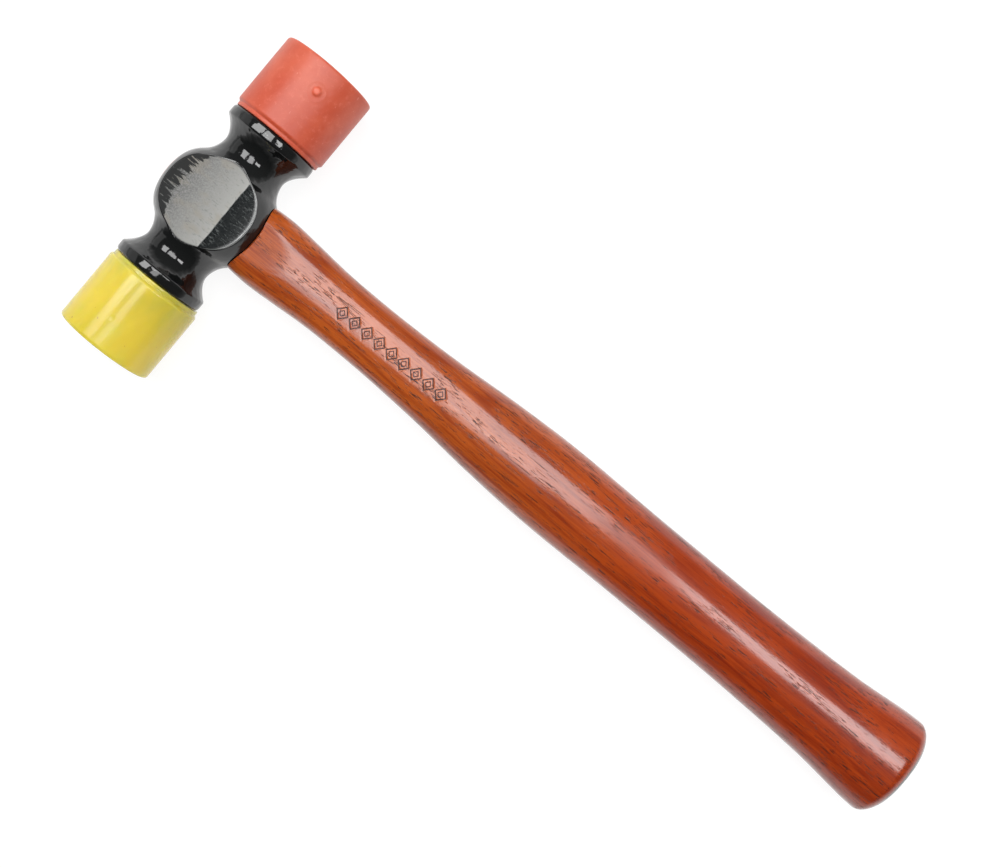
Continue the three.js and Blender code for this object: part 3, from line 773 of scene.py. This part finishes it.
def build_tip(name, end, nub, dents, seed):
    """A tip turned about y: a pocket for the stud, a stepped base, the barrel and a crowned face with soft hollows.
    Columns crowd towards the nub by angle less half its sine. The nub is a low dome with a ring round it, and dents are
    shallow hollows, each one less the square of its distance over its size."""
    rim = TIP_BASE + TIP_LENGTH
    pocket = TIP_BASE + COLLAR_THICK + ROOT_LENGTH + FIT_GAP
    floor = TIP_BASE + COLLAR_THICK + FIT_GAP

    def line(a, b, n):
        return bezier([a, b], np.linspace(0, 1, n + 1))[:-1]

    outline = np.concatenate([
        line((0, pocket), (ROOT + FIT_GAP, pocket), 4), line((ROOT + FIT_GAP, pocket), (ROOT + FIT_GAP, floor), 6),
        line((ROOT + FIT_GAP, floor), (COLLAR + FIT_GAP, floor), 3),
        line((COLLAR + FIT_GAP, floor), (COLLAR + FIT_GAP, TIP_BASE + 0.2), 3),
        line((COLLAR + FIT_GAP, TIP_BASE + 0.2), (COLLAR + FIT_GAP + 0.2, TIP_BASE), 1),
        line((COLLAR + FIT_GAP + 0.2, TIP_BASE), (TIP - 1.3, TIP_BASE), 8),
        bezier([(TIP - 1.3, TIP_BASE), (TIP - 1.05, TIP_BASE), (TIP - 1.0, TIP_BASE + 0.25)],
               np.linspace(0, 1, 5))[:-1],
        line((TIP - 1.0, TIP_BASE + 0.25), (TIP - 0.86, TIP_BASE + 1.45), 4),
        bezier([(TIP - 0.86, TIP_BASE + 1.45), (TIP - 0.8, TIP_BASE + 1.75), (TIP - 0.25, TIP_BASE + 1.85),
                (TIP, TIP_BASE + 2.6)], np.linspace(0, 1, 7))[:-1],
        line((TIP, TIP_BASE + 2.6), (TIP, rim - 1.3), 78),
        bezier([(TIP, rim - 1.3), (TIP, rim - 0.2), (TIP - 0.5, rim), (TIP - 1.2, rim + 0.06)],
               np.linspace(0, 1, 10))[:-1],
        bezier([(TIP - 1.2, rim + 0.06), (TIP / 2, rim + TIP_CROWN), (0, rim + TIP_CROWN)], np.linspace(0, 1, 26)),
    ])
    t = np.linspace(0, 2 * np.pi, 193)
    middle = nub[0] if nub else np.pi / 2
    angle = t - 0.5 * np.sin(t - middle)
    angle = np.where(t == t[-1], angle[0] + 2 * np.pi, angle)
    r, y = outline[:, :1], outline[:, 1:]
    away_x = TIP * (np.mod(angle - middle + np.pi, 2 * np.pi) - np.pi) * np.ones_like(r)
    lift = np.zeros_like(away_x)
    nub_painted_highlight = np.zeros_like(away_x)
    if nub:
        off = np.hypot(away_x, y - nub[1])
        # The nub's mask, which carries the painted highlight on it in the finish
        nub_painted_highlight = 1 - ease((off - 0.9) / 0.7)
        lift += 0.6 * (1 - ease((off - 0.9) / 0.95)) + 0.05 * np.exp(-((off - 3.5) / 0.45) ** 2)
        lift -= 0.05 * np.exp(-((off - 2.6) / 0.5) ** 2)
    shuffled = np.random.default_rng(seed)
    for _ in range(dents):
        at, where = shuffled.uniform(0, 2 * np.pi), shuffled.uniform(TIP_BASE + 5, rim - 2)
        size, deep = shuffled.uniform(0.5, 1.5), shuffled.uniform(0.03, 0.10)
        off = np.hypot(TIP * (np.mod(angle - at + np.pi, 2 * np.pi) - np.pi), y - where)
        lift -= deep * np.clip(1 - (off / size) ** 2, 0, 1)
    settle = 0.02 * np.sin(3 * angle + 0.12 * y) * np.ones_like(r)
    radius = np.where(r > TIP - 0.9, r - 0.1 + lift + settle, r)
    face = np.where((r < TIP - 1.0) & (y > rim), 1.0, 0.0)
    waves = 0.0
    for _ in range(9):
        cx, cz = shuffled.uniform(-13, 13, 2)
        size, deep = shuffled.uniform(1.5, 4.5), shuffled.uniform(0.04, 0.12)
        waves = waves - deep * np.exp(-(((r * np.cos(angle) - cx) ** 2 + (r * np.sin(angle) - cz) ** 2) / size ** 2))
    grid = np.stack([radius * np.cos(angle), y + waves * face, radius * np.sin(angle)], axis=-1)
    grid[:, -1] = grid[:, 0]
    grid[-1] = grid[-1].mean(axis=0)
    skin = Skin().add(at_end(grid, end), from_base=grid[..., 1] - TIP_BASE, nub=nub_painted_highlight)
    return put_in_mesh(name, skin, sharp=50)


def build_stud(name, end):
    """A stud turned about y: a threaded shank whose thread fades at both ends, a collar, and a root with knurling,
    which is a cosine round the root times a cosine along it."""
    first = HEAD_HALF - SOCKET_DEPTH + 0.8
    collar = TIP_BASE + COLLAR_THICK
    tail = collar + ROOT_LENGTH
    core = STUD - THREAD_DEPTH
    shank = np.arange(first + 0.5, TIP_BASE - 0.05, PITCH / 12)
    outline = np.concatenate([
        [(0, first), (core * 0.5, first), (core - 0.5, first), (core - 0.15, first + 0.15)],
        np.stack([np.full(len(shank), core), shank], axis=-1),
        [(core, TIP_BASE), (COLLAR - 0.2, TIP_BASE), (COLLAR, TIP_BASE + 0.2), (COLLAR, collar - 0.2),
         (COLLAR - 0.2, collar), (ROOT, collar)],
        np.stack([np.full(40, ROOT), np.linspace(collar + 0.1, tail - 0.7, 40)], axis=-1),
        [(ROOT - 0.5, tail), (ROOT / 2, tail), (0, tail)],
    ])
    angle = np.linspace(0, 2 * np.pi, 97)
    r, y = outline[:, :1], outline[:, 1:]
    threaded = ease((y - first - 0.4) / 1.2) * ease((TIP_BASE - 0.9 - y) / 1.4) * (r == core)
    rooted = (r == ROOT) & (y > collar + 0.05)
    radius = r + threaded * thread_height(y, angle, THREAD_DEPTH)
    radius = radius - 0.18 * rooted * (0.5 + 0.5 * np.cos(24 * angle + 3.0 * y) * np.cos(24 * angle - 3.0 * y))
    radius = radius - 1.0 * rooted * ease(1 - abs(y - collar - ROOT_LENGTH / 2) / 1.5)
    grid = np.stack([radius * np.cos(angle), y * np.ones_like(radius), radius * np.sin(angle)], axis=-1)
    grid[:, -1] = grid[:, 0]
    return put_in_mesh(name, Skin().add(at_end(grid, end)), sharp=35)


# ---- Pieces on their bodies ----

enamel = make_enamel()
stained_wood = make_wood("stained_hickory")
bare_wood = make_wood("bare_hardwood", stained=False)
stud_steel = make_steel("stud_steel", rgb(0.55, 0.54, 0.5), 0.28)
wedge_steel = make_steel("wedge_steel", rgb(0.40, 0.39, 0.37), 0.42, along=(0.4, 1.2, 1.2))

fitted(build_head(), enamel, "hammer_body", "head")
fitted(build_handle(), stained_wood, "hammer_body", "handle")
fitted(build_tip("red_face_tip", 1, (math.radians(90 - 15.2), 54.0), dents=26, seed=3), make_red_plastic(),
       "red_face", "red_tip")
fitted(build_tip("yellow_face_tip", -1, None, dents=5, seed=8), make_yellow_plastic(),
       "yellow_face", "yellow_tip")
fitted(build_stud("red_threaded_stud", 1), stud_steel, "red_face", "red_tip_stud")
fitted(build_stud("yellow_threaded_stud", -1), stud_steel, "yellow_face", "yellow_tip_stud")

for node_name, finish in (("wooden_wedge", bare_wood), ("steel_wedge_red_side", wedge_steel),
                          ("steel_wedge_yellow_side", wedge_steel)):
    kept_node = frame["nodes"][node_name]
    kept_node.data.materials.clear()
    kept_node.data.materials.append(finish)

# ---- Floor, light and camera ----

scene = bpy.context.scene
scene.view_settings.view_transform = "Standard"


def build_floor():
    """A level sheet far larger than the hammer, its corners at plus and minus three metres."""
    ends = np.linspace(-3.0, 3.0, 9)
    x, y = np.meshgrid(ends, ends, indexing="ij")
    points = np.stack([x, y, np.full_like(x, -0.00002)], axis=-1).reshape(-1, 3)
    number = np.arange(81).reshape(9, 9)
    quads = np.stack([number[:-1, :-1], number[1:, :-1], number[1:, 1:], number[:-1, 1:]], axis=-1).reshape(-1, 4)
    mesh = bpy.data.meshes.new("pale_floor")
    mesh.from_pydata(points, [], quads)
    floor = bpy.data.objects.new("pale_floor", mesh)
    scene.collection.objects.link(floor)
    material, shader, _, _ = finish_named("pale_floor")
    shader.inputs["Base Color"].default_value = rgb(0.15, 0.15, 0.15)
    shader.inputs["Roughness"].default_value = 0.9
    shader.inputs["Specular IOR Level"].default_value = 0.1
    shader.inputs["Emission Color"].default_value = rgb(1, 1, 1)
    shader.inputs["Emission Strength"].default_value = 0.9
    mesh.materials.append(material)


def softbox(name, lean_x, lean_y, distance, wide, deep, radiance):
    """An area light that faces the head from so many degrees off overhead, wide along x and deep along y."""
    light = bpy.data.lights.new(name, "AREA")
    light.shape, light.size, light.size_y = "RECTANGLE", wide, deep
    light.energy = radiance * math.pi * wide * deep
    made = bpy.data.objects.new(name, light)
    away = np.array([math.tan(math.radians(lean_x)), math.tan(math.radians(lean_y)), 1.0])
    away /= np.linalg.norm(away)
    right = np.cross(across, away)
    right /= np.linalg.norm(right)
    turned = np.eye(4)
    turned[:3, 0], turned[:3, 1], turned[:3, 2] = right, np.cross(away, right), away
    turned[:3, 3] = TIP_AXIS + away * distance
    made.matrix_world = Matrix(turned)
    made.visible_camera = False
    scene.collection.objects.link(made)


def build_sky():
    """The room's light: pale at the level of the floor and dim overhead, by the height of the direction. Seen
    straight, the room is plain and pale."""
    world = bpy.data.worlds.new("studio")
    scene.world = world
    world.use_nodes = True
    tree = world.node_tree
    direction = tree.nodes.new("ShaderNodeTexCoord")
    apart = tree.nodes.new("ShaderNodeSeparateXYZ")
    ramp = tree.nodes.new("ShaderNodeValToRGB")
    seen = tree.nodes.new("ShaderNodeLightPath")
    choice = tree.nodes.new("ShaderNodeMix")
    choice.data_type = "RGBA"
    tree.links.new(direction.outputs["Generated"], apart.inputs[0])
    tree.links.new(apart.outputs["Z"], ramp.inputs["Fac"])
    tree.links.new(seen.outputs["Is Camera Ray"], choice.inputs[0])
    lopsided = tree.nodes.new("ShaderNodeMapRange")
    tree.links.new(apart.outputs["Y"], lopsided.inputs["Value"])
    for key, value in (("From Min", -1.0), ("From Max", 1.0), ("To Min", 0.45), ("To Max", 1.5)):
        lopsided.inputs[key].default_value = value
    scaled = tree.nodes.new("ShaderNodeVectorMath")
    scaled.operation = "SCALE"
    tree.links.new(ramp.outputs["Color"], scaled.inputs[0])
    tree.links.new(lopsided.outputs["Result"], scaled.inputs["Scale"])
    tree.links.new(scaled.outputs["Vector"], choice.inputs[6])
    choice.inputs[7].default_value = rgb(0.93, 0.93, 0.93)
    tree.links.new(choice.outputs[2], tree.nodes["Background"].inputs["Color"])
    for place, grey in zip((0.0, 0.10, 0.30), (0.95, 0.40, 0.11)):
        stop = ramp.color_ramp.elements[0] if place == 0 else ramp.color_ramp.elements.new(place)
        stop.position, stop.color = place, rgb(grey, grey, grey)
    ramp.color_ramp.elements[-1].color = rgb(0.11, 0.11, 0.11)


build_floor()
build_sky()
softbox("head_side_softbox", -27, 10, 1.1, 0.43, 0.76, 6.6)
softbox("butt_side_softbox", 30.5, 11, 1.1, 0.33, 0.31, 8.0)
softbox("overhead_softbox", 1.5, 12.5, 2.0, 0.88, 1.08, 6.1)
softbox("yellow_side_softbox", 0, -6, 2.0, 0.5, 0.35, 4.5)
softbox("bounce_card", -67, 0, 1.1, 0.55, 1.4, 0.5)

CAMERA_DOWN_HANDLE, CAMERA_ACROSS, CAMERA_ABOVE = 0.1310, 0.00278, 0.5077  # metres, from the tips' axis
CAMERA_TURN = math.radians(39.7)  # from the handle's own direction
lens = bpy.data.cameras.new("camera")
lens.sensor_width, lens.lens = 36.0, 50.4
lens.clip_start, lens.clip_end = 0.01, 20.0
camera = bpy.data.objects.new("camera", lens)
camera.location = (TIP_AXIS[0] + CAMERA_DOWN_HANDLE, CAMERA_ACROSS, TIP_AXIS[2] + CAMERA_ABOVE)
camera.rotation_euler = (0.0, 0.0, CAMERA_TURN)
scene.collection.objects.link(camera)
scene.camera = camera
